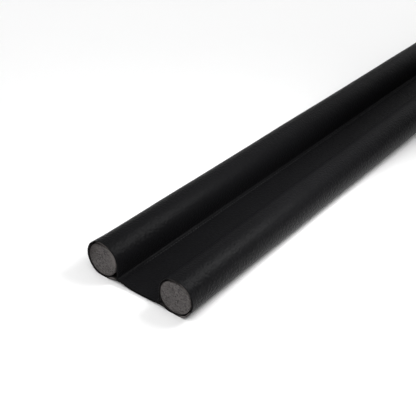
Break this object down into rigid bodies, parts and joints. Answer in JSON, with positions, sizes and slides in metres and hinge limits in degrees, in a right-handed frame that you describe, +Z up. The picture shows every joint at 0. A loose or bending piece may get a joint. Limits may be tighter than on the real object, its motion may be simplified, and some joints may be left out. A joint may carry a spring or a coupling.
{
  "type": "draught excluder",
  "caption": "Under-door draught excluder: a sewn leatherette sleeve with a foam-filled roll along each side, joined by a flat web that passes under the door.",
  "frame": {"origin": "on the floor, under the middle of the part", "axes": "+Z up, +Y along the rolls towards the far end, +X towards the right-hand roll"},
  "size_m": [0.1104, 0.93, 0.0335],
  "materials": {
    "leatherette": "fine embossed grain, low sheen",
    "foam": "cut closed-cell foam, matt"
  },
  "bodies": {
    "root": {"cover": "leatherette", "core_left": "foam", "core_right": "foam"}
  },
  "joints": []
}
